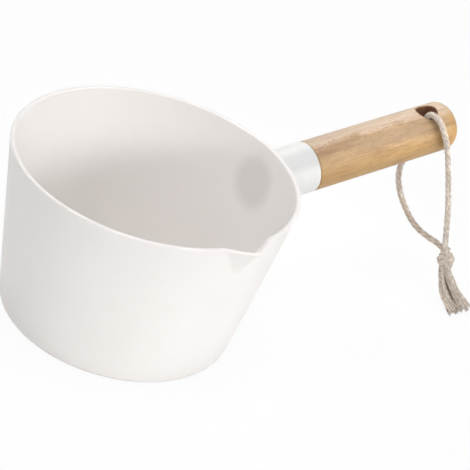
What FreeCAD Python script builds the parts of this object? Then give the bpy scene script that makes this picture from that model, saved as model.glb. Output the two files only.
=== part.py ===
"""Water dipper: a round moulded cup with a pour lip, a white collar, a turned wooden handle
and a hanging cord tied in a knot above a frayed end.

Origin: the centre of the cup's flat underside. +X is the side that the handle leaves from, and +Z is up.
Millimetres.
"""

import FreeCAD, Part
import math
import os

V = FreeCAD.Vector

# Cup
RIM_DIAMETER = 160.0  # outside, at the rim
BASE_DIAMETER = 130.8  # outside, where the wall's line meets the table
CUP_HEIGHT = 99.0
CUP_WALL = 2.6
CUP_FLOOR = 3.0
BASE_ROUND = 5.0  # outside corner at the table
FLOOR_ROUND = 9.0  # inside corner at the floor
RIM_ROUND = 0.9  # both edges of the rim

# Pour lip
LIP_AZIMUTH = -86.0  # degrees from the handle's side
LIP_REACH = 7.6  # how far the nose stands out of the round rim
LIP_DEPTH = 17.5  # how far the lip runs down the wall
LIP_HALF_ANGLE = 11.3  # degrees round the rim, from the nose to where the flank begins
LIP_NOSE = 0.14  # rounding of the nose, as a share of the half width
LIP_FLANK = 0.12  # rounding where the flank leaves the wall, as a share of the half width
LIP_NARROWING = 0.3  # width at the lip's lower end, as a share of its width at the rim
LIP_RUN_OUT = 1.45  # the outline is plain round from here on, in half widths
LIP_FULLNESS = 0.8  # below 1, the nose's line bellies out on its way down
LIP_LEVELS = (0.15, 0.35, 0.65, 1.0)  # outlines up the lip, as shares of its depth
LIP_STEPS = 8  # points from the nose to the plain wall, on each side
RIM_STEPS = 2  # outlines round each edge of the rim

# Handle, all along its own axis, which crosses the cup's axis
HANDLE_DIAMETER = 29.5
HANDLE_TILT = 9.6  # degrees above level
HANDLE_AXIS_HEIGHT = 64.2  # where the axis crosses the cup's axis
COLLAR_LENGTH = 34.0  # along the axis, from the wall to the wood
WOOD_LENGTH = 105.0  # what shows of the wood
WOOD_END_ROUND = 7.0
COLLAR_EDGE_ROUND = 0.9
WOOD_EDGE_CHAMFER = 0.6
JOINT_GAP = 0.3  # fine line between the collar and the wood

# Inside the collar
BOSS_DIAMETER = 22.0  # hollow boss moulded on the cup's wall
BOSS_LENGTH = 22.0  # along the axis, from the wall
TENON_DIAMETER = 16.0  # round tenon turned on the wood
BOSS_WEB = 2.0  # between the boss's bore and the wall's outside
FIT_CLEARANCE = 0.1  # glued fits, on the radius
END_CLEARANCE = 0.4  # glued fits, at their ends

# Hanging hole
HOLE_DIAMETER = 13.0
HOLE_FROM_END = 18.4
HOLE_EDGE_ROUND = 0.8

# Cord, its knot and its frayed end
CORD_DIAMETER = 3.7
CORD_ROUTE = [
    (212.2, -37.0, 30.2),
    (211.5, -33.2, 42.0),
    (209.3, -28.4, 61.0),
    (206.3, -21.6, 81.0),
    (203.9, -17.9, 92.4),
    (198.8, -17.6, 101.4),
    (195.6, -16.0, 107.2),
    (193.9, -12.9, 111.6),
    (192.6, -9.1, 113.0),
    (191.9, -5.7, 112.6),
    (191.8, -3.5, 110.2),
    (192.6, -2.8, 106.6),
    (194.6, -2.6, 100.5),
    (197.2, -0.9, 89.5),
    (194.4, 4.6, 77.0),
    (193.6, 4.4, 65.5),
    (195.2, 0.0, 54.8),
    (197.6, -7.3, 46.3),
    (201.6, -15.4, 38.4),
    (207.0, -23.6, 34.6),
    (212.2, -30.0, 33.0),
    (215.2, -34.5, 29.8),
]
RUN_SHARE = 0.45  # of the shorter run, taken by the arc at each point
KNOT_CENTRE = V(213.7, -38.4, 26.6)
KNOT_AXIS = V(0.08, -0.46, -0.88)
KNOT_LENGTH = 12.6
KNOT_DIAMETER = 10.4
KNOT_END_DIAMETER = 5.0
KNOT_BELLY = 4.6  # length of its widest part
TASSEL_SECTIONS = [
    # centre, the way that the yarns run, half width and half thickness
    (V(213.2, -40.7, 22.2), V(0.08, -0.46, -0.88), 3.2, 2.8),
    (V(213.8, -45.6, 14.0), V(0.12, -0.58, -0.80), 4.9, 3.6),
    (V(215.2, -51.0, 8.2), V(0.18, -0.76, -0.63), 6.2, 3.7),
    (V(216.6, -58.4, 3.6), V(0.16, -0.95, -0.26), 7.8, 3.2),
]

# Worked out from the sizes above
RIM_RADIUS = RIM_DIAMETER / 2
BASE_RADIUS = BASE_DIAMETER / 2
PLAIN_HEIGHT = CUP_HEIGHT - 4 / 3 * LIP_DEPTH  # the wall is plain up to here
WALL_SLOPE = (RIM_RADIUS - BASE_RADIUS) / CUP_HEIGHT
TILT = math.radians(HANDLE_TILT)
HANDLE_ORIGIN = V(0, 0, HANDLE_AXIS_HEIGHT)
HANDLE_AXIS = V(math.cos(TILT), 0, math.sin(TILT))
HANDLE_UP = V(-math.sin(TILT), 0, math.cos(TILT))


def wall_radius(z):
    """The cup's outside radius at a height, away from the lip."""
    return BASE_RADIUS + WALL_SLOPE * z


def wall_along_handle(up=0.0):
    """How far along the handle's axis the wall's outside is, on a line that far above the axis."""
    height = HANDLE_AXIS_HEIGHT + up * math.cos(TILT)
    reach = wall_radius(height) + up * math.sin(TILT)
    return reach / (math.cos(TILT) - WALL_SLOPE * math.sin(TILT))


COLLAR_END = wall_along_handle() + COLLAR_LENGTH
BOSS_END = wall_along_handle() + BOSS_LENGTH
BOSS_BORE_END = wall_along_handle(TENON_DIAMETER / 2) + BOSS_WEB
WOOD_START = COLLAR_END + JOINT_GAP
WOOD_END = WOOD_START + WOOD_LENGTH
HOLE_ALONG = WOOD_END - HOLE_FROM_END


def smooth_step_up(x):
    """Zero below 0 and x above it, with the corner rounded."""
    return (x + math.hypot(x, LIP_FLANK)) / 2


def lip_shape(t):
    """The lip's outline across its width: 1 at the nose and 0 from the run-out on."""
    rest = smooth_step_up(1 - math.hypot(LIP_RUN_OUT, LIP_NOSE))
    top = smooth_step_up(1 - LIP_NOSE)
    return max(0.0, (smooth_step_up(1 - math.hypot(t, LIP_NOSE)) - rest) / (top - rest))


def lip_share(z):
    """How far up the lip a height is: 0 at its lower end and 1 at the rim."""
    return max(0.0, 1 - (CUP_HEIGHT - z) / LIP_DEPTH)


def cup_outline(z, inset):
    """The cup's closed outline at a height, that far inside the outer surface."""
    radius = wall_radius(z) - inset
    share = lip_share(z)
    swell = LIP_REACH * share**LIP_FULLNESS
    width = LIP_NARROWING + (1 - LIP_NARROWING) * share

    def point(t):
        angle = math.radians(LIP_AZIMUTH + t * LIP_HALF_ANGLE)
        reach = radius + swell * lip_shape(t / width)
        return V(reach * math.cos(angle), reach * math.sin(angle), z)

    edge = LIP_RUN_OUT
    half_turn = 180 / LIP_HALF_ANGLE
    if share > 0:
        lip = Part.BSplineCurve()
        lip.interpolate([point(edge * i / LIP_STEPS) for i in range(-LIP_STEPS, LIP_STEPS + 1)])
    else:
        lip = Part.Arc(point(-edge), point(0), point(edge))
    first = Part.Arc(point(edge), point((edge + half_turn) / 2), point(half_turn))
    second = Part.Arc(point(half_turn), point(-(edge + half_turn) / 2), point(-edge))
    return Part.Wire([lip.toShape(), first.toShape(), second.toShape()])


def loft_outlines(levels, stepped):
    """A solid through the cup's outlines, given as (height, inset) from the bottom up."""
    return Part.makeLoft([cup_outline(z, inset) for z, inset in levels], True, stepped)


def rim_levels(inset, side):
    """The rounded edge of the rim as (height, inset): side is 1 outside and -1 inside."""
    levels = []
    for i in range(RIM_STEPS + 1):
        turn = math.pi / 2 * i / RIM_STEPS
        z = CUP_HEIGHT - RIM_ROUND * (1 - math.sin(turn))
        levels.append((z, inset + side * RIM_ROUND * (1 - math.cos(turn))))
    return levels


def lip_band(inset, side):
    """The upper part of the cup's form, whose outline swells out into the lip."""
    start = CUP_HEIGHT - LIP_DEPTH
    depth = LIP_DEPTH - RIM_ROUND
    levels = [(PLAIN_HEIGHT, inset), (start, inset)]
    levels += [(start + depth * share, inset) for share in LIP_LEVELS]
    return loft_outlines(levels, False).fuse(loft_outlines(rim_levels(inset, side), True))


def plain_body(bottom, corner, inset):
    """The lower part of the cup's form: a cone frustum with a round bottom corner."""
    lean = math.atan(WALL_SLOPE)
    half_turn = (math.pi / 2 - lean) / 2
    radius = wall_radius(bottom) - inset
    reach = corner * math.tan(half_turn)
    slant = V(math.sin(lean), 0, math.cos(lean))
    turn = V(radius, 0, bottom)
    enter = turn - V(reach, 0, 0)
    leave = turn + slant * reach
    inward = V(-1, 0, 0) + slant
    inward.normalize()
    middle = turn + inward * (corner / math.cos(half_turn) - corner)
    top = V(wall_radius(PLAIN_HEIGHT) - inset, 0, PLAIN_HEIGHT)
    points = [leave, top, V(0, 0, PLAIN_HEIGHT), V(0, 0, bottom), enter]
    edges = [Part.LineSegment(a, b).toShape() for a, b in zip(points, points[1:])]
    edges.append(Part.Arc(enter, middle, leave).toShape())
    return Part.Face(Part.Wire(edges)).revolve(V(0, 0, 0), V(0, 0, 1), 360)


def along_handle(distance, up=0.0):
    """A point at a distance along the handle's axis, and that far above it."""
    return HANDLE_ORIGIN + HANDLE_AXIS * distance + HANDLE_UP * up


def handle_rod(start, end, diameter):
    """A round rod on the handle's axis."""
    return Part.makeCylinder(diameter / 2, end - start, along_handle(start), HANDLE_AXIS)


def make_cup():
    """The cup, moulded in one with its lip and the boss for the handle."""
    outside = plain_body(0, BASE_ROUND, 0).fuse(lip_band(0, 1))
    inside = plain_body(CUP_FLOOR, FLOOR_ROUND, CUP_WALL).fuse(lip_band(CUP_WALL, -1))
    cup = outside.cut(inside)
    boss = handle_rod(wall_along_handle() - BOSS_LENGTH, BOSS_END, BOSS_DIAMETER).cut(inside)
    bore = handle_rod(BOSS_BORE_END, BOSS_END + END_CLEARANCE, TENON_DIAMETER)
    return cup.fuse(boss).cut(bore).removeSplitter()


def make_collar():
    """The sleeve over the boss, cut to the wall's slope, with a neck round the tenon."""
    collar = handle_rod(0, COLLAR_END, HANDLE_DIAMETER)
    rim = [edge for edge in collar.Edges if edge.CenterOfMass.x > along_handle(COLLAR_END).x / 2]
    rim = [edge for edge in rim if edge.Curve.TypeId == "Part::GeomCircle"]
    collar = collar.makeFillet(COLLAR_EDGE_ROUND, rim)
    seat = Part.makeCone(BASE_RADIUS + FIT_CLEARANCE, RIM_RADIUS + FIT_CLEARANCE, CUP_HEIGHT)
    socket = handle_rod(0, BOSS_END + END_CLEARANCE, BOSS_DIAMETER + 2 * FIT_CLEARANCE)
    neck = handle_rod(BOSS_END, WOOD_START, TENON_DIAMETER + 2 * FIT_CLEARANCE)
    return collar.cut(seat).cut(socket).cut(neck)


def make_handle():
    """The turned wood: a rod with a round end, a tenon and a hole across it."""
    rod = handle_rod(WOOD_START, WOOD_END, HANDLE_DIAMETER)
    circles = [edge for edge in rod.Edges if edge.Curve.TypeId == "Part::GeomCircle"]
    circles.sort(key=lambda edge: edge.CenterOfMass.x)
    rod = rod.makeFillet(WOOD_END_ROUND, [circles[-1]])
    circles = [edge for edge in rod.Edges if edge.Curve.TypeId == "Part::GeomCircle"]
    circles.sort(key=lambda edge: edge.CenterOfMass.x)
    rod = rod.makeChamfer(WOOD_EDGE_CHAMFER, [circles[0]])
    below = along_handle(HOLE_ALONG, -HANDLE_DIAMETER)
    hole = Part.makeCylinder(HOLE_DIAMETER / 2, 2 * HANDLE_DIAMETER, below, HANDLE_UP)
    rod = rod.cut(hole)
    mouths = [edge for edge in rod.Edges if edge.Curve.TypeId == "Part::GeomBSplineCurve"]
    rod = rod.makeFillet(HOLE_EDGE_ROUND, mouths)
    tenon_diameter = TENON_DIAMETER - 2 * FIT_CLEARANCE
    tenon = handle_rod(BOSS_BORE_END + END_CLEARANCE, WOOD_START + HANDLE_DIAMETER / 2, tenon_diameter)
    return rod.fuse(tenon).removeSplitter()


def cord_path(points):
    """Straight runs joined by tangent arcs, and the arcs' radii."""
    points = [V(*point) for point in points]
    edges = []
    radii = []
    start = points[0]
    for before, corner, after in zip(points, points[1:], points[2:]):
        back = before - corner
        on = after - corner
        reach = RUN_SHARE * min(back.Length, on.Length)
        half_turn = (math.pi - back.getAngle(on)) / 2
        radius = reach / math.tan(half_turn)
        back.normalize()
        on.normalize()
        enter = corner + back * reach
        leave = corner + on * reach
        inward = back + on
        inward.normalize()
        middle = corner + inward * (radius / math.cos(half_turn) - radius)
        edges.append(Part.LineSegment(start, enter).toShape())
        edges.append(Part.Arc(enter, middle, leave).toShape())
        radii.append(radius)
        start = leave
    edges.append(Part.LineSegment(start, points[-1]).toShape())
    return Part.Wire(edges), radii


def make_cord():
    """The cord: out of the knot, up and through the handle's hole, and back into the knot."""
    path, radii = cord_path(CORD_ROUTE)
    first = V(*CORD_ROUTE[0])
    section = Part.Wire([Part.makeCircle(CORD_DIAMETER / 2, first, V(*CORD_ROUTE[1]) - first)])
    tube = path.makePipeShell([section], True, False)
    expected = math.pi * CORD_DIAMETER**2 / 4 * path.Length
    print("cord radii", [round(radius, 1) for radius in radii])
    print("cord length", round(path.Length, 1), "volume share", round(tube.Volume / expected, 4))
    return tube


def make_knot(cord):
    """The knot, a barrel round both ends of the cord."""
    half_length = KNOT_LENGTH / 2
    half_belly = KNOT_BELLY / 2
    end_radius = KNOT_END_DIAMETER / 2
    radius = KNOT_DIAMETER / 2
    corners = [V(0, 0, -half_length), V(end_radius, 0, -half_length), V(radius, 0, -half_belly)]
    corners += [V(radius, 0, half_belly), V(end_radius, 0, half_length), V(0, 0, half_length)]
    knot = Part.Face(Part.makePolygon(corners + corners[:1])).revolve(V(0, 0, 0), V(0, 0, 1), 360)
    knot.Placement = FreeCAD.Placement(KNOT_CENTRE, FreeCAD.Rotation(V(0, 0, 1), KNOT_AXIS))
    return knot.cut(cord)


def make_tassel(knot, cord):
    """The frayed end below the knot, spread on the table."""
    wires = []
    for centre, way, half_width, half_thickness in TASSEL_SECTIONS:
        across = way.cross(V(0, 0, 1))
        up = across.cross(way)
        across.normalize()
        up.normalize()
        ellipse = Part.Ellipse(centre + across * half_width, centre + up * half_thickness, centre)
        wires.append(Part.Wire([ellipse.toShape()]))
    return Part.makeLoft(wires, True, True).cut(knot).cut(cord)


def main():
    os.makedirs("parts", exist_ok=True)
    cord = make_cord()
    knot = make_knot(cord)
    pieces = {
        "cup": make_cup(),
        "collar": make_collar(),
        "handle": make_handle(),
        "hanging_cord": cord,
        "cord_knot": knot,
        "cord_tassel": make_tassel(knot, cord),
    }
    for name, shape in pieces.items():
        shape.exportStep("parts/" + name + ".step")
        box = shape.BoundBox
        corners = [round(x, 1) for x in (box.XMin, box.YMin, box.ZMin, box.XMax, box.YMax, box.ZMax)]
        print(name, shape.isValid(), len(shape.Solids), round(shape.Volume), corners)


main()
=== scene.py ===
"""Water dipper: a moulded cup with a pour lip, a white collar, a wooden handle and a knotted cord.

Everything is in metres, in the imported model's own frame: the origin is the centre of the cup's
underside, +X is the side that the handle leaves from, and +Z is up.
"""

import math
import random

import bpy
from bpy.props import FloatProperty, FloatVectorProperty, IntProperty, PointerProperty
from mathutils import Matrix, Vector


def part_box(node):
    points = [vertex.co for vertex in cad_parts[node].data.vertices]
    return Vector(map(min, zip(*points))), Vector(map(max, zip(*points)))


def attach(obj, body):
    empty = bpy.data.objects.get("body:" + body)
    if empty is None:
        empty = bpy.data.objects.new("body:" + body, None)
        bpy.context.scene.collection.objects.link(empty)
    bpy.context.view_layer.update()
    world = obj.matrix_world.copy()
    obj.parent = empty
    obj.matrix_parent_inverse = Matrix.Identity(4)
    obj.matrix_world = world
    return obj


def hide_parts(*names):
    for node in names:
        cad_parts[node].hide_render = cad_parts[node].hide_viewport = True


bl_info = {
    "name": "Water dipper",
    "version": (1, 0, 0),
    "blender": (4, 5, 0),
    "location": "3D View > Sidebar > Dipper",
    "description": "Builds the cup, collar, handle and hanging cord of a water dipper",
    "category": "Object",
}

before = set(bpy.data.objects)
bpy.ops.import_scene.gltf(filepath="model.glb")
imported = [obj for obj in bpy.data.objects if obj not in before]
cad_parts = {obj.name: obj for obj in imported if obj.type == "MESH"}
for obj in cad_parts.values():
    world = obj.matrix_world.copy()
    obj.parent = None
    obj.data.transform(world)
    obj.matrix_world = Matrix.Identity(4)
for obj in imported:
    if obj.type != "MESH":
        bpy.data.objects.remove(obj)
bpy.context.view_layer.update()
BODY = "root"
CUP_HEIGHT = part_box("cup")[1].z

# The cord's route: out of the knot, up and over the hole's edge, through the hole and back
CORD_ROUTE = [
    (0.2122, -0.0370, 0.0302),
    (0.2115, -0.0332, 0.0420),
    (0.2093, -0.0284, 0.0610),
    (0.2063, -0.0216, 0.0810),
    (0.2039, -0.0179, 0.0924),
    (0.1988, -0.0176, 0.1014),
    (0.1956, -0.0160, 0.1072),
    (0.1939, -0.0129, 0.1116),
    (0.1926, -0.0091, 0.1130),
    (0.1919, -0.0057, 0.1126),
    (0.1918, -0.0035, 0.1102),
    (0.1926, -0.0028, 0.1066),
    (0.1946, -0.0026, 0.1005),
    (0.1972, -0.0009, 0.0895),
    (0.1944, 0.0046, 0.0770),
    (0.1936, 0.0044, 0.0655),
    (0.1952, 0.0000, 0.0548),
    (0.1976, -0.0073, 0.0463),
    (0.2016, -0.0154, 0.0384),
    (0.2070, -0.0236, 0.0346),
    (0.2122, -0.0300, 0.0330),
    (0.2152, -0.0345, 0.0298),
]
SKIN_STEP = 0.00035  # between two rings of the cord's and the knot's skin
STRAND_FULLNESS = 0.75  # below 1, a strand's crown is broader than its groove
GROOVE_DEPTH = 0.2  # between two strands of the cord, as a share of its radius
# Painted shade: the cord is darker where it comes back to the knot. This grows from SHADE_FROM on
# and fades at the knot, over SHADE_LENGTH each time. Both are shares of the cord's length.
CORD_SHADE = 0.34
SHADE_FROM = 0.77
SHADE_LENGTH = 0.08
KNOT_CENTRE = Vector((0.2137, -0.0384, 0.0266))
KNOT_AXIS = Vector((0.08, -0.46, -0.88)).normalized()
KNOT_ROUTE = [
    # right, near and down from the knot's centre, along the doubled cord
    (0.0002, 0.0000, -0.0068),
    (0.0000, -0.0010, -0.0046),
    (-0.0016, -0.0024, -0.0018),
    (-0.0036, -0.0010, 0.0008),
    (-0.0030, 0.0018, 0.0026),
    (-0.0004, 0.0033, 0.0014),
    (0.0024, 0.0026, -0.0008),
    (0.0037, -0.0002, -0.0018),
    (0.0024, -0.0028, -0.0008),
    (-0.0008, -0.0032, 0.0002),
    (-0.0034, -0.0014, -0.0020),
    (-0.0028, 0.0019, -0.0030),
    (0.0002, 0.0029, -0.0026),
    (0.0030, 0.0016, 0.0006),
    (0.0030, -0.0008, 0.0028),
    (0.0008, -0.0012, 0.0036),
    (0.0000, 0.0000, 0.0052),
    (-0.0002, 0.0002, 0.0064),
]
KNOT_STRAND_GAP = 0.0028
KNOT_STRAND_RADIUS = 0.00175
KNOT_LAY = 0.8  # length of one full twist, as a share of the cord's
# Painted shade: the knot is darker inside, from KNOT_RADIUS inwards, fully dark KNOT_DEPTH
# deeper, and less and less up to KNOT_HALF_LENGTH above and below its centre
KNOT_RADIUS = 0.0046
KNOT_DEPTH = 0.0034
KNOT_HALF_LENGTH = 0.0055
FACING = Vector((-0.61, -0.60, 0.51))  # the side on which the knot and the frayed end open
UP = Vector((0.0, 0.0, 1.0))
TASSEL_SPINE = [
    # centre and half width, down from the knot and out over the table
    (Vector((0.2126, -0.0401, 0.0234)), 0.0024),
    (Vector((0.2126, -0.0418, 0.0200)), 0.0031),
    (Vector((0.2129, -0.0437, 0.0170)), 0.0040),
    (Vector((0.2137, -0.0458, 0.0139)), 0.0048),
    (Vector((0.2143, -0.0482, 0.0110)), 0.0052),
    (Vector((0.2153, -0.0512, 0.0081)), 0.0055),
    (Vector((0.2162, -0.0548, 0.0052)), 0.0062),
    (Vector((0.2166, -0.0580, 0.0032)), 0.0070),
    (Vector((0.2167, -0.0602, 0.0024)), 0.0076),
]
# Strands of the frayed end: how far left (1) or right (-1) at the knot, at half way and at the
# end, how far to the front (1) or back (-1), how dark (0 to 1: painted shade, most on the strands
# at the back in the gap), and how long (1 is to the end)
TASSEL_STRANDS = [
    (0.74, 0.98, 0.96, 0.15, 0.06, 0.99),
    (0.48, 0.66, 0.66, 0.55, 0.0, 1.0),
    (0.85, 0.74, 0.82, -0.55, 0.35, 0.96),
    (0.50, 0.48, 0.36, 0.25, 0.25, 0.98),
    (0.56, 0.50, 0.06, 0.40, 0.12, 1.0),
    (0.10, 0.28, 0.34, -0.55, 0.9, 0.97),
    (0.30, 0.05, 0.12, -0.80, 1.0, 0.95),
    (0.0, -0.08, 0.22, -0.35, 0.85, 0.98),
    (-0.16, -0.30, 0.04, 0.55, 0.0, 0.98),
    (-0.42, -0.46, -0.30, 0.8, 0.0, 0.98),
    (-0.72, -0.80, -0.78, 0.55, 0.0, 1.0),
    (-0.85, -0.94, -1.20, 0.25, 0.0, 0.97),
    (-0.45, -0.60, -0.98, -0.45, 0.05, 1.0),
    (-0.60, -0.64, -0.48, 0.5, 0.0, 1.0),
    (-0.50, -0.56, -0.62, 0.7, 0.0, 0.99),
    (-0.62, -0.74, -0.98, 0.55, 0.0, 1.0),
    (-0.10, -0.24, -0.12, 0.3, 0.0, 0.97),
    (-0.35, -0.45, -0.48, -0.4, 0.0, 0.98),
]
TASSEL_SEED = 7
TASSEL_DEPTH = 0.0026  # from its middle to its front or back
LOOSE_FROM = 0.45  # share of its length from which the yarns part
YARN_STEP = 0.0004
YARN_WINDING = 3.4  # radians that the yarns of a strand wind round each other
YARN_APART = 0.00052  # from the middle of their strand, at the knot
YARN_PARTING = 0.0005  # how much that grows by the end
YARN_WAVE = 0.0001  # bends left to chance, at the knot
YARN_WAVE_GROWTH = 0.00035
YARN_LAY = 0.0075
YARN_GROOVE = 0.18
YARN_LIFT = 0.0001  # of a yarn that lies on the table
TIP_LENGTH = 0.1  # share of a yarn's length over which its tip narrows
TIP_TAPER = 0.35
FIBRES_EACH = 4  # loose fibres at a yarn's tip
FIBRE_RADIUS = 0.00017
FIBRE_LAY = 0.01
FIBRE_SAG = 0.0004
FIBRE_SPREAD = 0.45  # how far a fibre turns away from its yarn
FIBRE_LENGTHS = (0.0008, 0.0022)
FIBRE_ROOT = 0.0006  # how far back in the yarn a fibre starts
FIBRE_WIDTHS = {0.0: 1.0, 0.35: 1.0, 0.7: 0.9, 1.0: 0.6}  # by share of its length


def size_setting(name, description, default):
    """A length that a user can change."""
    return FloatProperty(name=name, description=description, default=default, unit="LENGTH")


def angle_setting(name, description, degrees):
    """An angle that a user can change."""
    return FloatProperty(
        name=name, description=description, default=math.radians(degrees), unit="ROTATION"
    )


def colour_setting(name, description, default):
    """A colour that a user can change."""
    return FloatVectorProperty(name=name, description=description, default=default, subtype="COLOR")


class CupSettings(bpy.types.PropertyGroup):
    """Sizes and colours of the moulded cup."""

    rim_diameter: size_setting("Rim diameter", "Outside, at the rim", 0.160)
    base_diameter: size_setting(
        "Base diameter", "Outside, where the wall's line meets the table", 0.1308
    )
    wall: size_setting("Wall", "Thickness of the wall", 0.0026)
    floor: size_setting("Floor", "Thickness of the floor", 0.003)
    base_round: size_setting("Base round", "Outside corner at the table", 0.005)
    floor_round: size_setting("Floor round", "Inside corner at the floor", 0.009)
    rim_round: size_setting("Rim round", "Both edges of the rim", 0.0009)
    lip_azimuth: angle_setting(
        "Lip azimuth", "Where the pour lip is, from the handle's side", -86.0
    )
    lip_reach: size_setting("Lip reach", "How far the nose stands out of the round rim", 0.0076)
    lip_depth: size_setting("Lip depth", "How far it runs down the wall", 0.0175)
    lip_half_angle: angle_setting(
        "Lip half angle", "Round the rim, from the nose to where the flank begins", 11.3
    )
    colour: colour_setting("Plastic", "Warm white of the moulding", (0.870, 0.842, 0.821))
    clouding: colour_setting(
        "Clouding", "Slightly greyer patches in the plastic", (0.855, 0.827, 0.804)
    )
    # Painted shadow: darker where the handle's boss blocks the light through the translucent wall
    boss_painted_shadow: colour_setting(
        "Boss shade",
        "Tint of the wall where the handle's boss stands behind it",
        (0.66, 0.645, 0.625),
    )


class HandleSettings(bpy.types.PropertyGroup):
    """Place of the handle's axis and its hole, and the colours of the collar and the wood."""

    axis_height: size_setting(
        "Axis height", "Where the handle's axis crosses the cup's axis", 0.0642
    )
    tilt: angle_setting("Tilt", "Of the handle above level", 9.6)
    hole_along: size_setting(
        "Hole", "From the cup's axis along the handle to the hole's centre", 0.1988
    )
    hole_radius: size_setting("Hole radius", "Of the hanging hole", 0.0065)
    collar: colour_setting("Collar", "Cool white of the collar", (0.80, 0.80, 0.785))
    # Painted reflection: a soft grey band standing in for what the glossy collar mirrors along its
    # top
    collar_painted_reflection: colour_setting(
        "Collar shade", "Soft grey band along the collar's upper side", (0.55, 0.555, 0.55)
    )
    light_wood: colour_setting("Light wood", "Pale streaks", (0.55, 0.372, 0.19))
    wood: colour_setting("Wood", "Main honey tone", (0.395, 0.248, 0.116))
    dark_wood: colour_setting("Dark wood", "Darker streaks, pores and curl", (0.25, 0.135, 0.07))
    orange_wood: colour_setting(
        "Orange wood", "Along the lower side and at the end", (0.49, 0.278, 0.082)
    )
    grey_wood: colour_setting("Grey wood", "Band below the curled line", (0.31, 0.218, 0.134))
    # Paler wood along the top, partly a painted sheen where the top catches the light
    pale_wood_and_sheen: colour_setting("Pale wood", "Along the top", (0.63, 0.51, 0.395))
    # Dark end grain inside the hole, with painted shade of the recess
    hole_wood_and_shade: colour_setting(
        "Wood in the hole", "End grain inside the hole", (0.20, 0.075, 0.03)
    )


class CordSettings(bpy.types.PropertyGroup):
    """Sizes and colours of the cord, its knot and its frayed end."""

    diameter: size_setting("Diameter", "Of the cord", 0.0037)
    strands: IntProperty(name="Strands", description="Laid up in the cord", default=4)
    lay: size_setting("Lay", "Length of one full twist", 0.0165)
    yarn_diameter: size_setting("Yarn diameter", "In the frayed end", 0.00145)
    yarns_each: IntProperty(
        name="Yarns", description="In each strand of the frayed end", default=2
    )
    colour: colour_setting("Cotton", "Undyed cotton", (0.66, 0.575, 0.49))
    pale: colour_setting("Pale fibres", "Raised fibres", (0.88, 0.81, 0.73))
    # Dark brown for the painted shade in the grooves and of the shade attribute, and for darker
    # fibres and patches
    groove: colour_setting("Groove", "Between the strands", (0.24, 0.13, 0.068))


class StageSettings(bpy.types.PropertyGroup):
    """Camera, lamps and floor."""

    eye: FloatVectorProperty(
        name="Eye",
        description="Where the camera stands",
        default=(-0.61432, -0.67809, 0.61578),
        subtype="TRANSLATION",
        unit="LENGTH",
    )
    azimuth: angle_setting(
        "Azimuth", "Side that the camera looks from, round from +X", 224.6272
    )
    elevation: angle_setting("Elevation", "Of the view, down onto the dipper", 30.7821)
    roll: angle_setting("Roll", "Of the camera", 18.02)
    lens: FloatProperty(
        name="Lens", description="Focal length on a 36 mm frame, in millimetres", default=150.574
    )
    lamps: FloatProperty(name="Lamps", description="Brightness of the soft lamps", default=1.0)
    surroundings: FloatProperty(
        name="Surroundings", description="Brightness of the light from all round", default=0.54
    )
    floor_colour: colour_setting("Floor", "Pale floor", (0.9, 0.9, 0.9))


SENSOR_WIDTH = 36.0  # millimetres
CLIP_START = 0.01
CLIP_END = 20.0

# Points that the lamps are aimed at
CUP_FRONT = (-0.03, 0.0, 0.05)
CUP_LOW = (-0.03, -0.03, 0.04)
CUP_MIDDLE = (0.0, 0.0, 0.06)
CUP_RIGHT = (0.06, 0.0, 0.09)
HANDLE_END = (0.185, -0.012, 0.094)
# Each lamp: round the dipper from +X and above level in degrees, width in metres, watts, how far
# its light spreads in degrees, and the point that it is aimed at
LAMPS = {
    "key_lamp": (295.0, 50.0, 0.08, 0.030, 8.0, HANDLE_END),
    "right_lamp": (320.0, 25.0, 0.6, 1.2, 180.0, CUP_MIDDLE),
    "front_lamp": (277.0, 18.0, 0.3, 0.06, 14.0, CUP_FRONT),
    "front_low_lamp": (262.0, 12.0, 0.3, 0.035, 14.0, CUP_LOW),
    "left_lamp": (170.0, 20.0, 0.6, 0.9, 180.0, CUP_MIDDLE),
    "left_high_lamp": (175.0, 45.0, 0.2, 0.016, 12.0, CUP_RIGHT),
    "back_lamp": (60.0, 50.0, 0.6, 1.2, 180.0, CUP_MIDDLE),
    "top_lamp": (250.0, 88.0, 0.6, 5.7, 180.0, CUP_MIDDLE),
}
LAMP_DISTANCE = 1.4
WHITE = (1.0, 1.0, 1.0, 1.0)
FLOOR_HALF_WIDTH = 3.0
FLOOR_WHITE = 0.92  # how much of the floor is shown plain white, the rest with its shadows

# Shaping


def add_piece(name, points, faces, smooth=True):
    """A new mesh object in the scene."""
    mesh = bpy.data.meshes.new(name)
    mesh.from_pydata(points, [], faces)
    mesh.validate()
    piece = bpy.data.objects.new(name, mesh)
    bpy.context.scene.collection.objects.link(piece)
    for polygon in mesh.polygons:
        polygon.use_smooth = smooth
    return piece


def finish_piece(piece, material, slot, *nodes):
    """Dress a new piece and let it stand for those nodes of the model."""
    piece.data.materials.clear()
    piece.data.materials.append(material)
    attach(piece, BODY)
    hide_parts(*nodes)


def dress_node(node, material):
    """Give a node of the model a better material."""
    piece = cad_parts[node]
    for slot in piece.material_slots:
        slot.link = "OBJECT"
        slot.material = material


def way_out(azimuth, elevation):
    """The direction at that angle round the dipper and that far above level."""
    flat = math.cos(elevation)
    return Vector((flat * math.cos(azimuth), flat * math.sin(azimuth), math.sin(elevation)))


def across_lines(line):
    """For each point of a line: the way it runs, and a side that turns as little as it can."""
    ways = []
    for i in range(len(line)):
        before = line[max(i - 1, 0)]
        after = line[min(i + 1, len(line) - 1)]
        ways.append((after - before).normalized())
    side = ways[0].orthogonal().normalized()
    sides = []
    for way in ways:
        side = (side - way * side.dot(way)).normalized()
        sides.append(side)
    return ways, sides


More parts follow.
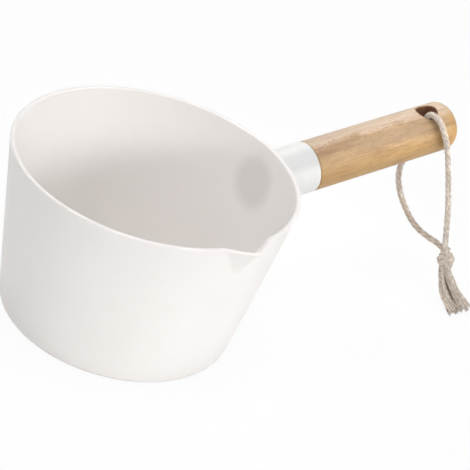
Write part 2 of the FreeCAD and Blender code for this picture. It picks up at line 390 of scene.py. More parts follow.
def even_line(line, step):
    """The same line with points that far apart."""
    lengths = [0.0]
    for a, b in zip(line, line[1:]):
        lengths.append(lengths[-1] + (b - a).length)
    count = max(2, round(lengths[-1] / step))
    spaced = []
    k = 0
    for i in range(count + 1):
        wanted = lengths[-1] * i / count
        while k < len(line) - 2 and lengths[k + 1] < wanted:
            k += 1
        share = (wanted - lengths[k]) / max(lengths[k + 1] - lengths[k], 1e-9)
        spaced.append(line[k].lerp(line[k + 1], min(1.0, share)))
    return spaced


def smooth_line(points, order=3):
    """The points of a NURBS spline with those control points."""
    curve = bpy.data.curves.new("line", "CURVE")
    curve.dimensions = "3D"
    curve.resolution_u = 16
    spline = curve.splines.new("NURBS")
    spline.points.add(len(points) - 1)
    for place, point in zip(spline.points, points):
        place.co = (*point, 1.0)
    spline.order_u = order
    spline.use_endpoint_u = True
    holder = bpy.data.objects.new("line", curve)
    mesh = bpy.data.meshes.new_from_object(holder)
    line = [vertex.co.copy() for vertex in mesh.vertices]
    bpy.data.objects.remove(holder)
    bpy.data.curves.remove(curve)
    bpy.data.meshes.remove(mesh)
    return line


class Twist:
    """Twisted strands along lines, gathered into one mesh with its own map."""

    def __init__(self):
        self.points = []
        self.faces = []
        self.map = []
        self.shades = []

    def lay_along(
        self, line, radius, strands, lay, groove, sides_each=10, start=0.0, widths=None, shade=0.0
    ):
        """Add a tube whose skin is that many strands twisted together.

        radius is the outer radius, lay the length of one full twist, and groove the depth
        between two strands as a share of the radius. sides_each is how many sides a strand has
        across, and start where the twist begins. widths scales the radius from point to point,
        and shade is how much painted shade darkens the tube, from 0 to 1.
        """
        ways, sides = across_lines(line)
        count = strands * sides_each
        first = len(self.points)
        runs = [0.0]
        for before, centre in zip(line, line[1:]):
            runs.append(runs[-1] + (centre - before).length)
        for i, centre in enumerate(line):
            turn = start - math.tau * runs[i] / lay
            other = ways[i].cross(sides[i])
            scale = radius * (widths[i] if widths else 1.0)
            for j in range(count):
                angle = math.tau * j / count
                swell = abs(math.cos(strands * angle / 2)) ** STRAND_FULLNESS
                reach = scale * (1 - groove * (1 - swell))
                spin = angle + turn
                self.points.append(
                    centre + (sides[i] * math.cos(spin) + other * math.sin(spin)) * reach
                )
        for i in range(len(line) - 1):
            along = (runs[i] / lay, runs[i + 1] / lay)
            for j in range(count):
                k = (j + 1) % count
                a = first + i * count
                self.faces.append((a + j, a + k, a + count + k, a + count + j))
                across = (j / sides_each, (j + 1) / sides_each)
                corners = ((0, 0), (1, 0), (1, 1), (0, 1))
                self.map.append([(across[u], along[v]) for u, v in corners])
        self.close_end(first, count, True)
        self.close_end(first + (len(line) - 1) * count, count, False)
        self.shades += [shade] * (len(self.points) - first)

    def close_end(self, first, count, at_start):
        """A fan over the last ring."""
        ring = list(range(first, first + count))
        middle = sum((self.points[i] for i in ring), Vector()) / count
        self.points.append(middle)
        centre = len(self.points) - 1
        for j in range(count):
            a = ring[j]
            b = ring[(j + 1) % count]
            self.faces.append((centre, b, a) if at_start else (centre, a, b))
            self.map.append([(0.5, 0.5)] * 3)

    def make(self, name):
        """Turn what was gathered into a piece, with the twist's map and the painted shade on its
        mesh.
        """
        piece = add_piece(name, self.points, self.faces)
        layer = piece.data.uv_layers.new(name="twist")
        corners = [corner for face in self.map for corner in face]
        for loop, corner in zip(layer.data, corners):
            loop.uv = corner
        shade = piece.data.attributes.new("shade", "FLOAT", "POINT")
        shade.data.foreach_set("value", self.shades)
        return piece


# Finishes


def node(tree, kind, sockets=None, **settings):
    """A shader node with its settings, and its sockets set or linked."""
    made = tree.nodes.new(kind)
    for name, value in settings.items():
        setattr(made, name, value)
    for name, value in (sockets or {}).items():
        if isinstance(value, bpy.types.NodeSocket):
            tree.links.new(value, made.inputs[name])
        else:
            made.inputs[name].default_value = value
    return made


def new_finish(name):
    """A material with a Principled shader: the material, its tree and the shader."""
    material = bpy.data.materials.new(name)
    material.use_nodes = True
    return material, material.node_tree, material.node_tree.nodes["Principled BSDF"]


def full(colour):
    """The colour with its alpha."""
    return (*colour, 1.0)


def blend_colours(tree, share, first, second):
    """Mix two colours, given or linked, by a share."""
    mix = node(tree, "ShaderNodeMix", data_type="RGBA")
    for index, value in ((0, share), (6, first), (7, second)):
        if isinstance(value, bpy.types.NodeSocket):
            tree.links.new(value, mix.inputs[index])
        elif index == 0:
            mix.inputs[index].default_value = value
        else:
            mix.inputs[index].default_value = full(value)
    return mix.outputs[2]


def spread(tree, value, low, high, start=0.0, end=1.0, smooth=False):
    """Map a value from low..high to start..end, and hold it there."""
    kind = "SMOOTHSTEP" if smooth else "LINEAR"
    mapped = node(
        tree,
        "ShaderNodeMapRange",
        {"Value": value, "From Min": low, "From Max": high, "To Min": start, "To Max": end},
        interpolation_type=kind,
    )
    return mapped.outputs["Result"]


def noise(tree, place, scale, detail=2.0, roughness=0.5, distortion=0.0):
    """Cloudy noise, mostly from 0.3 to 0.7, with that many waves in each unit of its place."""
    made = node(
        tree,
        "ShaderNodeTexNoise",
        {
            "Vector": place,
            "Scale": scale,
            "Detail": detail,
            "Roughness": roughness,
            "Distortion": distortion,
        },
    )
    return made.outputs["Fac"]


def math_node(tree, operation, first, second=0.0):
    """The result of one operation on a value or two, given or linked."""
    return node(tree, "ShaderNodeMath", {0: first, 1: second}, operation=operation).outputs[0]


def times(tree, first, second):
    return math_node(tree, "MULTIPLY", first, second)


def from_origin(tree, first, second):
    """How far a point of a plane is from its origin, from its two coordinates."""
    flat = node(tree, "ShaderNodeCombineXYZ", {"X": first, "Y": second})
    length = node(tree, "ShaderNodeVectorMath", {0: flat.outputs[0]}, operation="LENGTH")
    return length.outputs["Value"]


def band(tree, value, middle, half_width, soft):
    """1 within half_width of the middle, falling to 0 over the soft edge."""
    away = math_node(tree, "ABSOLUTE", math_node(tree, "SUBTRACT", value, middle))
    return spread(tree, away, half_width, half_width + soft, 1.0, 0.0, smooth=True)


def darken(tree, colour, mask, strength, tint):
    """Tint the colour where the mask is 1, by that strength."""
    return blend_colours(tree, times(tree, mask, strength), colour, tint)


def bump(tree, height, rise, strength, normal=None):
    """A normal with relief that rises that far in metres, on top of another if one is given."""
    sockets = {"Height": height, "Distance": rise, "Strength": strength}
    if normal is not None:
        sockets["Normal"] = normal
    return node(tree, "ShaderNodeBump", sockets).outputs["Normal"]


def object_place(tree):
    """The part's own coordinates, in metres."""
    return node(tree, "ShaderNodeTexCoord").outputs["Object"]


def along_handle_place(tree, handle):
    """Coordinates with X along the handle's axis, from where it crosses the cup's axis."""
    mapped = node(
        tree,
        "ShaderNodeMapping",
        {
            "Vector": object_place(tree),
            "Location": (0.0, 0.0, handle.axis_height),
            "Rotation": (0.0, -handle.tilt, 0.0),
        },
        vector_type="TEXTURE",
    )
    return mapped.outputs["Vector"]


def stretched(tree, place, scales):
    mapped = node(tree, "ShaderNodeMapping", {"Vector": place, "Scale": scales})
    return mapped.outputs["Vector"]


def grain(tree, place, along, across, detail=2.0, roughness=0.5, distortion=0.0):
    """Noise with that many waves in a metre along the handle and across it."""
    place = stretched(tree, place, (along, across, across))
    return noise(tree, place, 1.0, detail, roughness, distortion)


def around_handle(tree, parts):
    """Degrees round the handle, from its -Y side up."""
    angle = math_node(tree, "ARCTAN2", parts.outputs["Z"], times(tree, parts.outputs["Y"], -1.0))
    return math_node(tree, "DEGREES", angle)


def cup_plastic(cup, handle):
    """Matte warm white plastic, faintly clouded, with a painted shadow of the boss through the
    wall.
    """
    material, tree, shader = new_finish("cup_plastic")
    place = object_place(tree)
    clouds = spread(tree, noise(tree, place, 28.0, 3.0), 0.42, 0.78)
    colour = blend_colours(tree, clouds, cup.colour, cup.clouding)
    # Painted shadow of the boss through the translucent wall, near the handle's axis on its side
    parts = node(tree, "ShaderNodeSeparateXYZ", {"Vector": along_handle_place(tree, handle)})
    from_axis = from_origin(tree, parts.outputs["Y"], parts.outputs["Z"])
    near_axis = spread(tree, from_axis, 0.009, 0.019, 1.0, 0.0, smooth=True)
    handle_side = spread(tree, parts.outputs["X"], 0.03, 0.05)
    boss = times(tree, near_axis, handle_side)
    colour = darken(tree, colour, boss, 0.65, cup.boss_painted_shadow)
    tree.links.new(colour, shader.inputs["Base Color"])
    gloss = spread(tree, noise(tree, place, 60.0, 3.0), 0.3, 0.7, 0.46, 0.54)
    tree.links.new(gloss, shader.inputs["Roughness"])
    slow = bump(tree, noise(tree, place, 22.0, 1.0), 0.0006, 0.25)
    fine = noise(tree, place, 2600.0)
    tree.links.new(bump(tree, fine, 0.00003, 0.35, slow), shader.inputs["Normal"])
    shader.inputs["Specular IOR Level"].default_value = 0.4
    return material


def collar_plastic(handle):
    """Smooth cool white plastic, faint turning lines, and a soft grey painted reflection on its
    upper side.
    """
    material, tree, shader = new_finish("collar_plastic")
    place = along_handle_place(tree, handle)
    rings = grain(tree, place, 900.0, 12.0)
    greyer = tuple(0.975 * part for part in handle.collar)
    colour = blend_colours(tree, spread(tree, rings, 0.35, 0.7), handle.collar, greyer)
    parts = node(tree, "ShaderNodeSeparateXYZ", {"Vector": place})
    # Painted reflection: a soft grey band along the collar's upper side
    upper = band(tree, around_handle(tree, parts), 60.0, 10.0, 26.0)
    colour = darken(tree, colour, upper, 0.7, handle.collar_painted_reflection)
    tree.links.new(colour, shader.inputs["Base Color"])
    tree.links.new(spread(tree, rings, 0.3, 0.7, 0.42, 0.5), shader.inputs["Roughness"])
    fine = noise(tree, place, 900.0)
    tree.links.new(bump(tree, fine, 0.00002, 0.1), shader.inputs["Normal"])
    return material


# The curled line on the wood, in degrees round the handle
LINE_HEIGHT = 78.5  # at the cup's axis, if it ran on that far
LINE_FALL = 60.0  # in each metre along the handle
LINE_WANDER = 40.0  # it strays by about a fifth of this either way


def wood_tone(tree, place, streaks, handle):
    """The main tone: long pale streaks, with darker ones between."""
    broad = grain(tree, place, 12.0, 110.0, 3.0, 0.55, 0.9)
    fine = grain(tree, place, 75.0, 1700.0)
    mottle = grain(tree, place, 120.0, 260.0)
    tone = 0.0
    for share, part in ((0.36, broad), (0.36, streaks), (0.15, fine), (0.13, mottle)):
        tone = math_node(tree, "ADD", tone, times(tree, part, share))
    colour = blend_colours(tree, spread(tree, tone, 0.44, 0.57), handle.wood, handle.light_wood)
    return darken(tree, colour, spread(tree, tone, 0.48, 0.40), 0.6, handle.dark_wood)


def above_line(tree, place, around, along):
    """Degrees above the curled line."""
    drift = math_node(tree, "ADD", times(tree, along, -LINE_FALL), LINE_HEIGHT)
    wander = math_node(tree, "SUBTRACT", grain(tree, place, 60.0, 90.0, 3.0, 0.6, 0.6), 0.5)
    line = math_node(tree, "ADD", drift, times(tree, wander, LINE_WANDER))
    return math_node(tree, "SUBTRACT", around, line)


def curled_grain(tree, place, above):
    """Short dark curls along the line, broken here and there."""
    figure = grain(tree, place, 260.0, 760.0, 2.0, 0.6, 1.6)
    curl = times(tree, band(tree, figure, 0.5, 0.016, 0.03), band(tree, above, 4.0, 5.0, 8.0))
    return times(tree, curl, spread(tree, grain(tree, place, 160.0, 240.0), 0.40, 0.55))


def inside_hole(tree, parts, handle):
    """1 within the hanging hole."""
    along = math_node(tree, "SUBTRACT", parts.outputs["X"], handle.hole_along)
    away = from_origin(tree, along, parts.outputs["Y"])
    return spread(tree, away, handle.hole_radius * 1.02, handle.hole_radius * 1.06, 1.0, 0.0)


def oiled_wood(handle):
    """Light honey wood: long streaks, a curled darker line along the top with paler wood and
    painted sheen above it, pores, and a hole of dark end grain with painted shade.
    """
    material, tree, shader = new_finish("oiled_wood")
    place = along_handle_place(tree, handle)
    parts = node(tree, "ShaderNodeSeparateXYZ", {"Vector": place})
    around = around_handle(tree, parts)
    along = parts.outputs["X"]
    streaks = grain(tree, place, 30.0, 560.0, 4.0, 0.62, 0.35)
    colour = wood_tone(tree, place, streaks, handle)

    # Orange along the lower side and on the domed end
    low = spread(tree, around, 32.0, 8.0, smooth=True)
    colour = darken(tree, colour, low, 0.42, handle.orange_wood)
    end = spread(tree, along, 0.204, 0.213, smooth=True)
    colour = darken(tree, colour, end, 0.45, handle.orange_wood)

    # Grey below the curled line, more so towards the hole, and above it paler wood with painted
    # sheen
    above = above_line(tree, place, around, along)
    before_hole = spread(tree, along, 0.204, 0.188)
    grey = times(tree, before_hole, spread(tree, above, 4.0, -6.0, smooth=True))
    grey = times(tree, grey, spread(tree, above, -46.0, -20.0, smooth=True))
    grey = times(tree, grey, spread(tree, along, 0.12, 0.152, 0.4, 1.0))
    colour = darken(tree, colour, grey, 0.62, handle.grey_wood)
    # Paler wood above the line, partly a painted sheen where the top catches the light from above
    top = spread(tree, above, -6.0, 18.0, smooth=True)
    top = times(tree, top, spread(tree, streaks, 0.36, 0.52, 0.55, 1.0))
    top = times(tree, top, spread(tree, around, 150.0, 125.0))
    colour = darken(tree, colour, top, 0.8, handle.pale_wood_and_sheen)

    # Dark curls on the line, specks in the grey, and pores all over
    curl = times(tree, curled_grain(tree, place, above), before_hole)
    colour = darken(tree, colour, curl, 0.9, handle.dark_wood)
    specks = spread(tree, grain(tree, place, 330.0, 900.0), 0.58, 0.68)
    colour = darken(tree, colour, times(tree, specks, grey), 0.45, handle.dark_wood)
    pores = spread(tree, grain(tree, place, 240.0, 2600.0, 1.0), 0.62, 0.7)
    colour = darken(tree, colour, pores, 0.5, handle.dark_wood)

    # Dark end grain in the hole, with painted shade of the recess
    colour = darken(tree, colour, inside_hole(tree, parts, handle), 0.92, handle.hole_wood_and_shade)
    tree.links.new(colour, shader.inputs["Base Color"])
    tree.links.new(spread(tree, streaks, 0.3, 0.7, 0.42, 0.56), shader.inputs["Roughness"])
    shader.inputs["Specular IOR Level"].default_value = 0.35
    relief = math_node(tree, "SUBTRACT", streaks, pores)
    relief = math_node(tree, "SUBTRACT", relief, times(tree, curl, 0.6))
    tree.links.new(bump(tree, relief, 0.00007, 0.5), shader.inputs["Normal"])
    return material


def twisted_cotton(cord):
    """Soft cotton: pale fibres on the strands, and painted shade in the grooves between them."""
    material, tree, shader = new_finish("twisted_cotton")
    place = object_place(tree)
    twist = node(tree, "ShaderNodeUVMap", uv_map="twist").outputs["UV"]
    fibres = noise(tree, stretched(tree, twist, (9.0, 2.5, 1.0)), 1.0, 4.0, 0.65, 0.4)
    mottled = noise(tree, place, 420.0, 4.0, 0.6)
    colour = blend_colours(tree, spread(tree, mottled, 0.42, 0.64), cord.colour, cord.pale)
    # Painted shade in the grooves between the strands, deeper where the shade attribute is set
    parts = node(tree, "ShaderNodeSeparateXYZ", {"Vector": twist})
    within = math_node(tree, "FRACT", parts.outputs["X"])
    from_crown = math_node(tree, "PINGPONG", within, 0.5)
    in_groove = spread(tree, from_crown, 0.36, 0.5, smooth=True)
    shade = node(tree, "ShaderNodeAttribute", attribute_name="shade").outputs["Fac"]
    uneven = spread(tree, mottled, 0.3, 0.6, 0.55, 0.25)
    strength = math_node(tree, "ADD", uneven, times(tree, shade, 1.6))
    strength = math_node(tree, "MINIMUM", strength, 1.0)
    colour = darken(tree, colour, in_groove, strength, cord.groove)
    colour = darken(tree, colour, spread(tree, fibres, 0.5, 0.3), 0.38, cord.groove)
    patches = spread(tree, noise(tree, place, 190.0, 2.0), 0.5, 0.66)
    colour = darken(tree, colour, patches, 0.1, cord.groove)
    # Painted shade where the shade attribute is set
    colour = darken(tree, colour, shade, 0.75, cord.groove)
    tree.links.new(colour, shader.inputs["Base Color"])
    fuzz = noise(tree, place, 5200.0, 3.0)
    soft = bump(tree, fibres, 0.00018, 0.7)
    tree.links.new(bump(tree, fuzz, 0.00006, 0.6, soft), shader.inputs["Normal"])
    shader.inputs["Roughness"].default_value = 0.9
    shader.inputs["Sheen Weight"].default_value = 0.35
    shader.inputs["Sheen Roughness"].default_value = 0.5
    shader.inputs["Specular IOR Level"].default_value = 0.2
    return material


def cotton(cord):
    """The cord's finish, made once for its three pieces."""
    return bpy.data.materials.get("twisted_cotton") or twisted_cotton(cord)


# The cup's form

LIP_NOSE = 0.14  # rounding of the nose, as a share of the half width
LIP_FLANK = 0.12  # rounding where the flank leaves the wall, as a share of the half width
LIP_NARROWING = 0.3  # width at the lip's lower end, as a share of its width at the rim
LIP_RUN_OUT = 1.45  # the outline is plain round from here on, in half widths
LIP_FULLNESS = 0.8  # below 1, the nose's line bellies out on its way down

# How finely the skin is divided
ROUND_STEPS = 168  # round the cup, apart from the lip
LIP_STEPS = 132  # across the lip
CORNER_STEPS = 10
WALL_STEPS = 24
LIP_HEIGHT_STEPS = 22
RIM_STEPS = 6
FLAT_STEPS = (0.3, 0.6, 0.85)  # shares of the way out to the corner


def smooth_step_up(x):
    """Zero below 0 and x above it, with the corner rounded."""
    return (x + math.hypot(x, LIP_FLANK)) / 2


def lip_shape(t):
    """The lip's outline across its width: 1 at the nose and 0 from the run-out on."""
    rest = smooth_step_up(1 - math.hypot(LIP_RUN_OUT, LIP_NOSE))
    top = smooth_step_up(1 - LIP_NOSE)
    return max(0.0, (smooth_step_up(1 - math.hypot(t, LIP_NOSE)) - rest) / (top - rest))


def cup_angles(cup):
    """Angles round the cup, close together across the lip."""
    edge = LIP_RUN_OUT * cup.lip_half_angle
    rest = math.tau - 2 * edge
    lip = [-edge + 2 * edge * i / LIP_STEPS for i in range(LIP_STEPS)]
    return lip + [edge + rest * i / ROUND_STEPS for i in range(ROUND_STEPS)]


def flat_and_corner(radius, bottom, lean, size):
    """The flat and the round corner between it and the leaning wall: (radius, height)."""
    half_turn = (math.pi / 2 - lean) / 2
    reach = size * math.tan(half_turn)
    centre = (radius - reach, bottom + size)
    points = [(centre[0] * share, bottom) for share in FLAT_STEPS]
    for i in range(CORNER_STEPS + 1):
        angle = -math.pi / 2 + 2 * half_turn * i / CORNER_STEPS
        points.append((centre[0] + size * math.cos(angle), centre[1] + size * math.sin(angle)))
    return points


def cup_profile(cup):
    """The wall's section as (radius of the plain cup, height), from the outside to the inside."""
    outside = wall_face(cup, 0.0, 0.0, cup.base_round, -cup.rim_round)
    inside = wall_face(cup, cup.floor, cup.wall, cup.floor_round, cup.rim_round)
    return outside + inside[::-1]


def wall_face(cup, bottom, inset, corner, rim):
    """One face of the wall, from the middle of its floor up to the top of the rim.

    inset is how far it lies inside the cup's outer line, and rim the rounding at its top, below 0
    where that turns inwards.
    """
    slope = (cup.rim_diameter - cup.base_diameter) / 2 / CUP_HEIGHT

    def radius(z):
        return cup.base_diameter / 2 + slope * z - inset

    points = flat_and_corner(radius(bottom), bottom, math.atan(slope), corner)
    low = points[-1][1]
    lip_start = CUP_HEIGHT - cup.lip_depth
    rim_start = CUP_HEIGHT - cup.rim_round
    for start, end, steps in (
        (low, lip_start, WALL_STEPS),
        (lip_start, rim_start, LIP_HEIGHT_STEPS),
    ):
        heights = [start + (end - start) * i / steps for i in range(1, steps + 1)]
        points += [(radius(z), z) for z in heights]
    for i in range(1, RIM_STEPS + 1):
        angle = math.pi / 2 * i / RIM_STEPS
        z = rim_start + cup.rim_round * math.sin(angle)
        points.append((radius(z) + rim * (1 - math.cos(angle)), z))
    return points


def cup_mesh(cup):
    """The cup's skin as one closed sheet, out at the base, over the rim and in to the floor."""
    angles = cup_angles(cup)
    profile = cup_profile(cup)
    count = len(angles)
    points = [Vector((0, 0, 0))]
    for radius, z in profile:
        share = max(0.0, 1 - (CUP_HEIGHT - z) / cup.lip_depth)
        swell = cup.lip_reach * share**LIP_FULLNESS
        width = LIP_NARROWING + (1 - LIP_NARROWING) * share
        for across in angles:
            turn = (across + math.pi) % math.tau - math.pi
            reach = radius + swell * lip_shape(turn / cup.lip_half_angle / width)
            angle = cup.lip_azimuth + across
            points.append(Vector((reach * math.cos(angle), reach * math.sin(angle), z)))
    points.append(Vector((0, 0, cup.floor)))
    faces = []
    last = 1 + (len(profile) - 1) * count
    for j in range(count):
        k = (j + 1) % count
        faces.append((0, 1 + k, 1 + j))
        for a in range(1, last, count):
            faces.append((a + j, a + k, a + count + k, a + count + j))
        faces.append((last + j, last + k, len(points) - 1))
    return points, faces


# Pieces


class DIPPER_OT_camera(bpy.types.Operator):
    """Put the camera where the dipper is seen from."""

    bl_idname = "dipper.camera"
    bl_label = "Camera"

    def execute(self, context):
        stage = context.scene.dipper_stage
        back = way_out(stage.azimuth, stage.elevation)
        level = UP.cross(back).normalized()
        right = Matrix.Rotation(stage.roll, 3, back) @ level
        up = back.cross(right)
        lens = bpy.data.cameras.new("camera")
        lens.lens = stage.lens
        lens.sensor_width = SENSOR_WIDTH
        lens.clip_start = CLIP_START
        lens.clip_end = CLIP_END
        camera = bpy.data.objects.new("camera", lens)
        context.scene.collection.objects.link(camera)
        turned = Matrix((right, up, back)).transposed().to_4x4()
        camera.matrix_world = Matrix.Translation(Vector(stage.eye)) @ turned
        context.scene.camera = camera
        return {"FINISHED"}


class DIPPER_OT_knot(bpy.types.Operator):
    """Tie the knot that holds both ends of the cord."""

    bl_idname = "dipper.knot"
    bl_label = "Knot"

    def execute(self, context):
        cord = context.scene.dipper_cord
        twist = Twist()
        right = FACING.cross(KNOT_AXIS).normalized()
        near = KNOT_AXIS.cross(right)
        route = [
            KNOT_CENTRE + right * across + near * out + KNOT_AXIS * down
            for across, out, down in KNOT_ROUTE
        ]
        line = smooth_line(route, order=4)
        ways, _ = across_lines(line)
        lay = KNOT_LAY * cord.lay
        for offset in (-0.5, 0.5):
            beside = []
            for centre, way in zip(line, ways):
                out = centre - KNOT_CENTRE
                out -= way * out.dot(way)
                beside.append(centre + way.cross(out).normalized() * offset * KNOT_STRAND_GAP)
            beside = even_line(beside, SKIN_STEP)
            twist.lay_along(beside, KNOT_STRAND_RADIUS, cord.strands, lay, GROOVE_DEPTH)
        # Painted shade inside the knot, where its turns lie close together
        for i, point in enumerate(twist.points):
            out = point - KNOT_CENTRE
            height = out.dot(KNOT_AXIS)
            out -= KNOT_AXIS * height
            inside = min(1.0, max(0.0, (KNOT_RADIUS - out.length) / KNOT_DEPTH))
            twist.shades[i] = inside * max(0.0, 1.0 - (height / KNOT_HALF_LENGTH) ** 2)
        knot = twist.make("cord_knot_wraps")
        finish_piece(knot, cotton(cord), "cotton_cord", "cord_knot")
        return {"FINISHED"}


class DIPPER_OT_tassel(bpy.types.Operator):
    """Fray the cord's end into loose wavy yarns."""

    bl_idname = "dipper.tassel"
    bl_label = "Frayed end"

    def execute(self, context):
        cord = context.scene.dipper_cord
        chance = random.Random(TASSEL_SEED)
        twist = Twist()
        ways, _ = across_lines([centre for centre, _ in TASSEL_SPINE])
        for *place, shade, length in TASSEL_STRANDS:
            turn = chance.uniform(0, math.tau)
            for n in range(cord.yarns_each):
                spin = turn + math.tau * n / cord.yarns_each
                route = self.yarn_route(chance, ways, place, spin)
                self.lay_yarn(twist, chance, route, cord.yarn_diameter / 2, shade, length)
        tassel = twist.make("cord_tassel_yarns")
        finish_piece(tassel, cotton(cord), "cotton_cord", "cord_tassel")
        return {"FINISHED"}

    def yarn_route(self, chance, ways, place, turn):
        """A yarn's points: it winds round its strand's middle, and parts from it at the end."""
        left_start, left_middle, left_end, out = place
        route = []
        for i, (centre, half_width) in enumerate(TASSEL_SPINE):
            share = i / (len(TASSEL_SPINE) - 1)
            right = FACING.lerp(UP, share**2).cross(ways[i]).normalized()
            near = ways[i].cross(right)
            if share < 0.5:
                left = left_start + (left_middle - left_start) * 2 * share
            else:
                left = left_middle + (left_end - left_middle) * (2 * share - 1)
            loose = max(0.0, share - LOOSE_FROM) / (1.0 - LOOSE_FROM)
            spin = turn - YARN_WINDING * share
            apart = YARN_APART + YARN_PARTING * loose
            wave = YARN_WAVE + YARN_WAVE_GROWTH * loose
            across = half_width * left - apart * math.cos(spin) + chance.uniform(-wave, wave)
            depth = TASSEL_DEPTH * out + apart * math.sin(spin) + chance.uniform(-wave, wave)
            route.append(centre - right * across + near * depth)
        return route

    def lay_yarn(self, twist, chance, route, radius, shade, length):
        """One yarn along its route, cut to its length, with a narrower tip."""
        line = even_line(smooth_line(route, order=4), YARN_STEP)
        kept = int(len(line) * (length - chance.uniform(0.0, 0.05)))
        line = line[:kept]
        radius *= chance.uniform(0.85, 1.15)
        for point in line:
            point.z = max(point.z, radius + YARN_LIFT)
        tip = [max(0.0, i / kept - 1.0 + TIP_LENGTH) / TIP_LENGTH for i in range(kept)]
        widths = [1.0 - TIP_TAPER * share for share in tip]
        lay = YARN_LAY * chance.uniform(0.85, 1.2)
        # Painted shade of the strand, with a little darker tone at random for each yarn
        shade = min(1.0, shade + chance.uniform(0.0, 0.1))
        start = chance.uniform(0, math.tau)
        twist.lay_along(
            line, radius, 2, lay, YARN_GROOVE, sides_each=7, start=start, widths=widths, shade=shade
        )
        self.fray(twist, chance, line, radius, shade)

    def fray(self, twist, chance, line, radius, shade):
        """Loose fibres that stick out of a yarn's end."""
        end = line[-1]
        way = (end - line[-4]).normalized()
        sag = Vector((0, 0, -FIBRE_SAG))
        widths = list(FIBRE_WIDTHS.values())
        for _ in range(FIBRES_EACH):
            stray = Vector([chance.uniform(-FIBRE_SPREAD, FIBRE_SPREAD) for _ in range(3)])
            aim = (way + stray).normalized()
            reach = chance.uniform(*FIBRE_LENGTHS)
            start = end - way * FIBRE_ROOT + stray * radius
            route = [start + aim * reach * share + sag * share**2 for share in FIBRE_WIDTHS]
            for point in route:
                point.z = max(point.z, FIBRE_RADIUS)
            twist.lay_along(
                route, FIBRE_RADIUS, 1, FIBRE_LAY, 0.0, sides_each=5, widths=widths, shade=shade
            )


class DIPPER_OT_cord(bpy.types.Operator):
    """Lay the cord from the knot through the handle's hole and back."""

    bl_idname = "dipper.cord"
    bl_label = "Cord"

    def execute(self, context):
        cord = context.scene.dipper_cord
        line = even_line(smooth_line(CORD_ROUTE), SKIN_STEP)
        twist = Twist()
        twist.lay_along(line, cord.diameter / 2, cord.strands, cord.lay, GROOVE_DEPTH)
        # Painted shade on the cord where it comes back to the knot
        for i in range(len(twist.shades)):
            run = i / len(twist.shades)
            nearer = min(1.0, (run - SHADE_FROM) / SHADE_LENGTH, (1.0 - run) / SHADE_LENGTH)
            twist.shades[i] = CORD_SHADE * max(0.0, nearer)
        piece = twist.make("hanging_cord_strands")
        finish_piece(piece, cotton(cord), "cotton_cord", "hanging_cord")
        return {"FINISHED"}


class DIPPER_OT_cup(bpy.types.Operator):
    """Mould the cup with its pour lip."""

    bl_idname = "dipper.cup"
    bl_label = "Cup"

    def execute(self, context):
        cup = context.scene.dipper_cup
        points, faces = cup_mesh(cup)
        piece = add_piece("cup_body", points, faces)
        material = cup_plastic(cup, context.scene.dipper_handle)
        finish_piece(piece, material, "cup_plastic", "cup")
        return {"FINISHED"}


class DIPPER_OT_handle(bpy.types.Operator):
    """Finish the collar and the wooden handle."""

    bl_idname = "dipper.handle"
    bl_label = "Collar and handle"

    def execute(self, context):
        handle = context.scene.dipper_handle
        dress_node("collar", collar_plastic(handle))
        dress_node("handle", oiled_wood(handle))
        return {"FINISHED"}


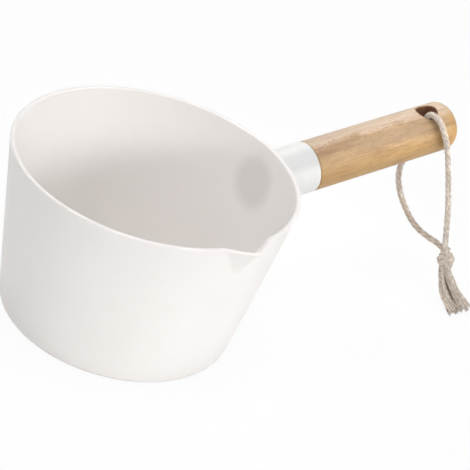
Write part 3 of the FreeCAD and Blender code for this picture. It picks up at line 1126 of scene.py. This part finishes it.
class DIPPER_OT_stage(bpy.types.Operator):
    """Lay the pale floor and hang the soft lamps."""

    bl_idname = "dipper.stage"
    bl_label = "Stage"

    def execute(self, context):
        stage = context.scene.dipper_stage
        self.lay_floor(stage)
        self.light_surroundings(context.scene, stage)
        for name, (azimuth, elevation, width, watts, spread_angle, target) in LAMPS.items():
            lamp = self.make_lamp(name, width, watts * stage.lamps, math.radians(spread_angle))
            self.aim_lamp(lamp, math.radians(azimuth), math.radians(elevation), Vector(target))
        context.scene.view_settings.view_transform = "Standard"
        return {"FINISHED"}

    def lay_floor(self, stage):
        """A pale floor that the camera sees as nearly white."""
        half = FLOOR_HALF_WIDTH
        corners = [(-half, -half, 0), (half, -half, 0), (half, half, 0), (-half, half, 0)]
        floor = add_piece("floor", corners, [(0, 1, 2, 3)], smooth=False)
        material, tree, shader = new_finish("pale_floor")
        shader.inputs["Base Color"].default_value = full(stage.floor_colour)
        shader.inputs["Roughness"].default_value = 0.9
        white = node(tree, "ShaderNodeEmission", {"Color": WHITE, "Strength": 1.0})
        share = times(tree, self.seen_share(tree), FLOOR_WHITE)
        self.show_white(tree, share, shader, white, "Material Output")
        floor.data.materials.append(material)

    def seen_share(self, tree):
        """1 for what the camera sees, directly, mirrored or through something clear."""
        path = node(tree, "ShaderNodeLightPath")
        seen = math_node(
            tree, "MAXIMUM", path.outputs["Is Camera Ray"], path.outputs["Is Glossy Ray"]
        )
        return math_node(tree, "MAXIMUM", seen, path.outputs["Is Transmission Ray"])

    def show_white(self, tree, share, lit, white, output):
        """Mix plain white over what is lit, by that share."""
        sockets = {0: share, 1: lit.outputs[0], 2: white.outputs[0]}
        shown = node(tree, "ShaderNodeMixShader", sockets)
        tree.links.new(shown.outputs[0], tree.nodes[output].inputs["Surface"])

    def light_surroundings(self, scene, stage):
        """Even light from all round, which the camera sees as white."""
        world = bpy.data.worlds.new("surroundings")
        world.use_nodes = True
        scene.world = world
        tree = world.node_tree
        around = tree.nodes["Background"]
        around.inputs["Color"].default_value = WHITE
        around.inputs["Strength"].default_value = stage.surroundings
        white = node(tree, "ShaderNodeBackground", {"Color": WHITE, "Strength": 1.0})
        self.show_white(tree, self.seen_share(tree), around, white, "World Output")

    def make_lamp(self, name, width, watts, spread_angle):
        light = bpy.data.lights.new(name, "AREA")
        light.shape = "DISK"
        light.size = width
        light.spread = spread_angle
        light.energy = watts
        lamp = bpy.data.objects.new(name, light)
        bpy.context.scene.collection.objects.link(lamp)
        return lamp

    def aim_lamp(self, lamp, azimuth, elevation, target):
        out = way_out(azimuth, elevation)
        lamp.location = target + LAMP_DISTANCE * out
        lamp.rotation_euler = (-out).to_track_quat("-Z", "Y").to_euler()


class DIPPER_PT_panel(bpy.types.Panel):
    """The dipper's pieces and sizes."""

    bl_label = "Water dipper"
    bl_idname = "DIPPER_PT_panel"
    bl_space_type = "VIEW_3D"
    bl_region_type = "UI"
    bl_category = "Dipper"

    def draw(self, context):
        for operator in OPERATORS:
            self.layout.operator(operator.bl_idname)
        for name in SETTINGS:
            group = getattr(context.scene, name)
            box = self.layout.box()
            for key in group.__annotations__:
                box.prop(group, key)


OPERATORS = (
    DIPPER_OT_camera,
    DIPPER_OT_knot,
    DIPPER_OT_tassel,
    DIPPER_OT_cord,
    DIPPER_OT_cup,
    DIPPER_OT_handle,
    DIPPER_OT_stage,
)
SETTINGS = {
    "dipper_cup": CupSettings,
    "dipper_handle": HandleSettings,
    "dipper_cord": CordSettings,
    "dipper_stage": StageSettings,
}


def register():
    for kind in (*SETTINGS.values(), *OPERATORS, DIPPER_PT_panel):
        bpy.utils.register_class(kind)
    for name, kind in SETTINGS.items():
        setattr(bpy.types.Scene, name, PointerProperty(type=kind))


def unregister():
    for name in SETTINGS:
        delattr(bpy.types.Scene, name)
    for kind in (DIPPER_PT_panel, *reversed(OPERATORS), *SETTINGS.values()):
        bpy.utils.unregister_class(kind)


def main():
    register()
    bpy.ops.dipper.camera()
    bpy.ops.dipper.knot()
    bpy.ops.dipper.tassel()
    bpy.ops.dipper.cord()
    bpy.ops.dipper.cup()
    bpy.ops.dipper.handle()
    bpy.ops.dipper.stage()


if __name__ == "__main__":
    main()
